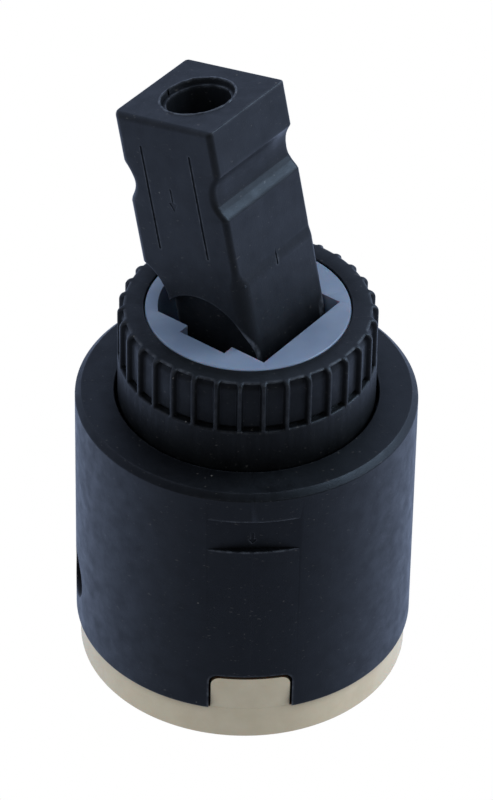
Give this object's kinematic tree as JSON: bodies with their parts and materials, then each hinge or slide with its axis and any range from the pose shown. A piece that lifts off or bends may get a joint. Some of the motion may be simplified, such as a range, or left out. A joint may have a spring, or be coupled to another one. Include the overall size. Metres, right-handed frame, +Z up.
{
  "type": "diverter valve cartridge",
  "caption": "Ceramic-disc valve cartridge: round black housing on a keyed beige base, fluted collar, pale rotor and a square lever that turns and tilts the discs.",
  "frame": {"origin": "on the cartridge's axis, in the plane of the three peg tips that it stands on", "axes": "+Z up along the axis towards the lever; the key tab points to -Y, so +X is to the right seen from the key side"},
  "size_m": [0.025, 0.025, 0.0493],
  "materials": {
    "housing_plastic": "black moulded plastic, fine satin",
    "base_plastic": "beige moulded acetal, satin",
    "collar_plastic": "black moulded plastic, satin",
    "rotor_acetal": "pale blue-grey translucent acetal",
    "lever_plastic": "black glass-filled plastic, satin",
    "seal_rubber": "black moulded rubber",
    "ceramic": "lapped white alumina ceramic",
    "steel": "ground stainless steel",
    "ptfe": "white low-friction plastic"
  },
  "bodies": {
    "housing": {"housing": "housing_plastic", "base": "base_plastic", "lower_seal_left": "seal_rubber", "lower_seal_right": "seal_rubber", "lower_seal_outlet": "seal_rubber", "upper_seal_left": "seal_rubber", "upper_seal_right": "seal_rubber", "upper_seal_outlet": "seal_rubber", "fixed_disc": "ceramic", "thrust_ring": "collar_plastic"},
    "rotor": {"rotor": "rotor_acetal", "fluted_collar": "collar_plastic", "pivot_pin": "steel", "rotor_o_ring": "seal_rubber"},
    "lever": {"lever": "lever_plastic", "tip_cap": "ptfe"},
    "carrier": {"disc_carrier": "base_plastic", "chamber_gasket": "seal_rubber", "moving_disc": "ceramic", "silencer": "ptfe"}
  },
  "joints": [
    {"name": "rotor_turn", "type": "hinge", "parent": "housing", "child": "rotor", "pos_m": [0, 0, 0.0195], "axis": [0, 0, 1], "range_deg": [-103.1, 0.9]},
    {"name": "lever_tilt", "type": "hinge", "parent": "rotor", "child": "lever", "pos_m": [0, 0, 0.027], "axis": [-0.628, -0.7782, 0], "range_deg": [-13.6, 7.4]},
    {"name": "disc_slide", "type": "slide", "parent": "rotor", "child": "carrier", "axis": [0.7782, -0.628, 0], "range_m": [-0.00198, 0.00108]}
  ],
  "couplings": [
    {"joint": "disc_slide", "follows": "lever_tilt", "m_per_rad": 0.0082953}
  ]
}
